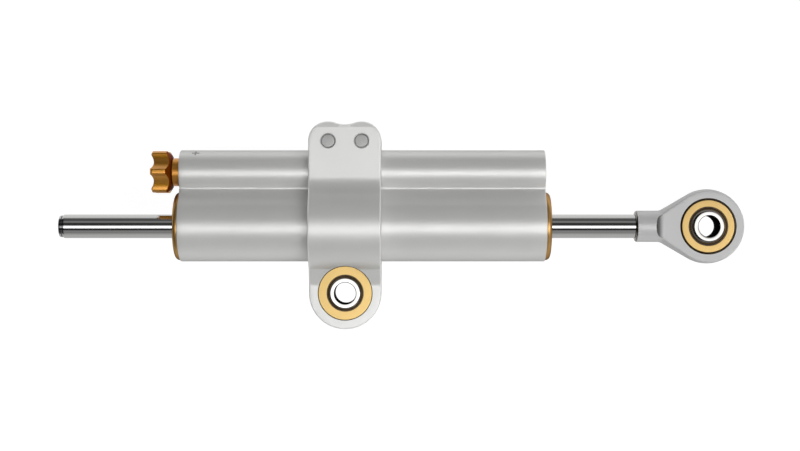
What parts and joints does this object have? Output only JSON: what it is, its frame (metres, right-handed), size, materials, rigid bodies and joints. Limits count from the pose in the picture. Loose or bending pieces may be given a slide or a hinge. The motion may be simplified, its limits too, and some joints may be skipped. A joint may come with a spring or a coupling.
{
  "type": "linear steering damper",
  "caption": "Linear steering damper with a through rod, a clamp with a spherical eye, a rod end and a damping adjuster knob.",
  "frame": {"origin": "centre of the ball in the clamp's eye, on the axis of its bolt bore", "axes": "+X along the rod towards the rod end, +Y across the body towards the adjuster tube, +Z along the bolt bore of the clamp's eye"},
  "size_m": [0.2576, 0.0775, 0.0352],
  "materials": {
    "silver": "satin anodised",
    "gold": "gold anodised",
    "amber": "dark gold anodised",
    "chrome": "hard chrome, polished",
    "steel": "plain steel",
    "liner": "woven bearing liner",
    "bronze": "plain bronze",
    "ptfe": "plain",
    "rubber": "black nitrile rubber",
    "urethane": "hard urethane"
  },
  "bodies": {
    "frame_eye_ball": {"frame_ball": "chrome"},
    "frame_eye_liner": {"frame_race_liner": "liner"},
    "clamp": {"clamp_band": "silver", "pinch_screws": "steel", "frame_bearing_ring": "gold"},
    "body": {"body_tube": "silver", "left_end_cap": "gold", "right_end_cap": "gold", "left_guide_bush": "bronze", "right_guide_bush": "bronze", "left_rod_seal": "rubber", "right_rod_seal": "rubber", "left_rod_wiper": "rubber", "right_rod_wiper": "rubber", "left_cap_o_ring": "rubber", "right_cap_o_ring": "rubber", "adjuster_housing": "gold", "housing_o_ring": "rubber", "detent_ball": "steel", "detent_spring": "steel", "valve_seat": "bronze", "reservoir_plug": "silver", "plug_o_ring": "rubber", "plug_circlip": "steel", "expansion_spring": "steel"},
    "expansion_piston": {"expansion_piston": "silver", "expansion_o_ring": "rubber"},
    "piston_band": {"piston_ring": "ptfe"},
    "rod": {"piston_rod": "chrome", "piston": "silver", "piston_o_ring": "rubber", "piston_clips": "steel", "bump_washers": "urethane", "rod_end": "silver", "rod_bearing_ring": "gold"},
    "rod_eye_liner": {"rod_race_liner": "liner"},
    "rod_eye_ball": {"rod_ball": "chrome"},
    "knob": {"adjuster_knob": "amber", "adjuster_spindle": "steel", "knob_screw": "steel", "spindle_o_ring": "rubber"},
    "needle_valve": {"needle": "steel"}
  },
  "joints": [
    {"name": "frame_eye_tilt", "type": "hinge", "parent": "frame_eye_ball", "child": "frame_eye_liner", "pos_m": [0, 0, 0], "axis": [0, 1, 0], "range_deg": [-10, 10]},
    {"name": "frame_eye_swivel", "type": "hinge", "parent": "frame_eye_liner", "child": "clamp", "pos_m": [0, 0, 0], "axis": [0, 0, 1], "continuous": true},
    {"name": "clamp_slide", "type": "slide", "parent": "clamp", "child": "body", "axis": [1, 0, 0], "range_m": [-0.055, 0.045]},
    {"name": "rod_slide", "type": "slide", "parent": "body", "child": "piston_band", "axis": [1, 0, 0], "range_m": [-0.03, 0.038]},
    {"name": "rod_spin", "type": "hinge", "parent": "piston_band", "child": "rod", "pos_m": [0, 0.025, 0], "axis": [1, 0, 0], "continuous": true},
    {"name": "rod_eye_swivel", "type": "hinge", "parent": "rod", "child": "rod_eye_liner", "pos_m": [0.136, 0.025, 0], "axis": [0, 0, 1], "continuous": true},
    {"name": "rod_eye_tilt", "type": "hinge", "parent": "rod_eye_liner", "child": "rod_eye_ball", "pos_m": [0.136, 0.025, 0], "axis": [0, 1, 0], "range_deg": [-10, 10]},
    {"name": "knob_turn", "type": "hinge", "parent": "body", "child": "knob", "pos_m": [-0.0686, 0.0454, 0], "axis": [1, 0, 0], "range_deg": [-540, 540]},
    {"name": "needle_slide", "type": "slide", "parent": "body", "child": "needle_valve", "axis": [1, 0, 0], "range_m": [-0.00075, 0.00075]},
    {"name": "expansion_slide", "type": "slide", "parent": "body", "child": "expansion_piston", "axis": [1, 0, 0], "range_m": [-0.0025, 0.0025], "stiffness_N_per_m": 2000, "deforming": ["expansion_spring"]}
  ],
  "couplings": [
    {"joint": "knob_turn", "follows": "needle_slide", "rad_per_m": 12566}
  ]
}
